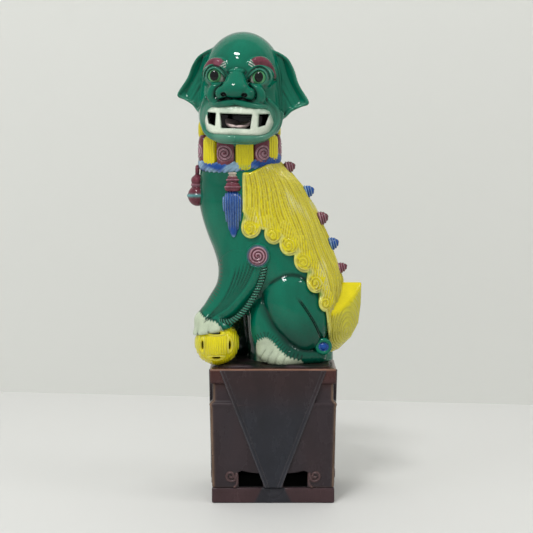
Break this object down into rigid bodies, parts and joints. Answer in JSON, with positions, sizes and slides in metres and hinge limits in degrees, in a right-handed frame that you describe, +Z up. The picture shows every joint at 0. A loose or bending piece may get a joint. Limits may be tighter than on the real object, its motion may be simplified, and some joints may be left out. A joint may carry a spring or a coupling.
{
  "type": "foo dog statue",
  "caption": "Glazed ceramic guardian lion seated on a tall table-shaped plinth, head turned to the side and one forepaw resting on a pierced ball.",
  "frame": {"origin": "middle of the plinth's underside", "axes": "+Z up; -Y is the plinth's front, towards which the head is turned; -X is the way the lion's chest faces"},
  "size_m": [0.1464, 0.0851, 0.3601],
  "materials": {
    "green_glaze": "glossy emerald lead glaze, darker in the grooves",
    "yellow_glaze": "glossy straw-yellow lead glaze",
    "blue_glaze": "glossy cobalt blue glaze",
    "aubergine_glaze": "glossy streaky purple-brown glaze",
    "plinth_glaze": "glossy dark aubergine-brown glaze, tan on the edges",
    "cloth_glaze": "glossy dark slate glaze",
    "ground_glaze": "glossy dark green-black glaze",
    "cream_glaze": "glossy cream glaze",
    "tongue_glaze": "glossy pinkish grey glaze",
    "eye_glaze": "glossy pale green glaze with a black painted pupil"
  },
  "bodies": {
    "root": {"back_cloth": "cloth_glaze", "back_wall": "plinth_glaze", "brocade_ball": "yellow_glaze", "chest_bell": "aubergine_glaze", "collar": "blue_glaze", "foot_tray": "plinth_glaze", "front_cloth": "cloth_glaze", "front_wall": "plinth_glaze", "ground_pad": "ground_glaze", "head_back_half": "green_glaze", "head_front_half": "green_glaze", "left_brow": "aubergine_glaze", "left_ear": "green_glaze", "left_end_cloth": "cloth_glaze", "left_end_wall": "plinth_glaze", "left_eyeball": "eye_glaze", "left_eyelid": "green_glaze", "left_foreleg": "green_glaze", "left_forepaw": "cream_glaze", "left_haunch": "green_glaze", "left_hind_foot": "green_glaze", "left_hock_curl": "blue_glaze", "left_leg_lock": "green_glaze", "left_mane_curls": "yellow_glaze", "left_shoulder_curl": "aubergine_glaze", "left_tassel": "blue_glaze", "left_tassel_cap": "aubergine_glaze", "mane": "yellow_glaze", "nose": "green_glaze", "right_brow": "aubergine_glaze", "right_ear": "green_glaze", "right_end_cloth": "cloth_glaze", "right_end_wall": "plinth_glaze", "right_eyeball": "eye_glaze", "right_eyelid": "green_glaze", "right_foreleg": "green_glaze", "right_forepaw": "cream_glaze", "right_haunch": "green_glaze", "right_hind_foot": "green_glaze", "right_hock_curl": "blue_glaze", "right_leg_lock": "green_glaze", "right_mane_curls": "yellow_glaze", "right_shoulder_curl": "aubergine_glaze", "right_tassel": "blue_glaze", "right_tassel_cap": "aubergine_glaze", "ruff_locks_purple": "aubergine_glaze", "ruff_locks_yellow": "yellow_glaze", "scroll_brackets": "plinth_glaze", "spine_knob_1": "aubergine_glaze", "spine_knob_2": "blue_glaze", "spine_knob_3": "aubergine_glaze", "spine_knob_4": "blue_glaze", "spine_knob_5": "aubergine_glaze", "tail": "yellow_glaze", "teeth_frame": "cream_glaze", "tongue": "tongue_glaze", "top_slab": "plinth_glaze", "torso_left_half": "green_glaze", "torso_right_half": "green_glaze", "upper_lip": "green_glaze"}
  },
  "joints": []
}
